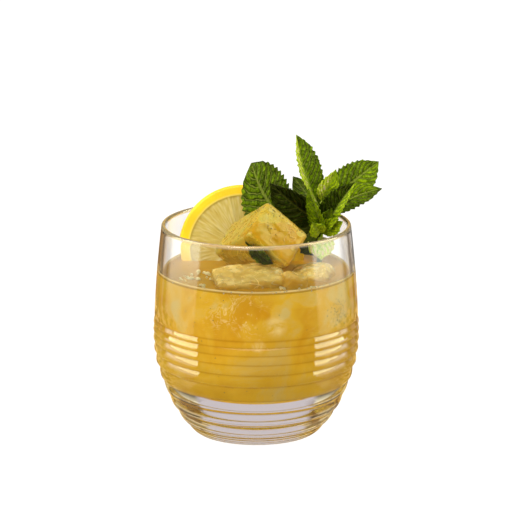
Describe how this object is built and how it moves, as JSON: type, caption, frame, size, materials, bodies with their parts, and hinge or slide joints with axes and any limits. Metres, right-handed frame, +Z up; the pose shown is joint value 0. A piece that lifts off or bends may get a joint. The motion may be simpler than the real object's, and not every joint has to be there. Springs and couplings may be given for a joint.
{
  "type": "cocktail in a tumbler",
  "caption": "Cocktail of whiskey, lemon and mint in a heavy ribbed tumbler, with lumps of ice, a round lemon slice and a sprig of mint.",
  "frame": {"origin": "centre of the tumbler's flat foot, on the surface it stands on", "axes": "+Z up along the tumbler's axis, -Y towards the viewer of the front, +X to the right, where the mint stands"},
  "size_m": [0.1025, 0.0922, 0.1323],
  "materials": {
    "clear_glass": "clear, polished",
    "drink": "cloudy golden amber liquid",
    "ice": "frosted, melting",
    "lemon": "moist fruit with a waxy yellow rind",
    "mint": "fresh green leaf",
    "loose_mint": "wet dark green leaf"
  },
  "bodies": {
    "root": {"glass": "clear_glass", "drink": "drink", "lemon_slice": "lemon", "ice_cube_top": "ice", "ice_cube_front": "ice", "ice_cube_right": "ice", "ice_chip": "ice", "mint_sprig": "mint", "mint_leaf_loose": "loose_mint"}
  },
  "joints": []
}
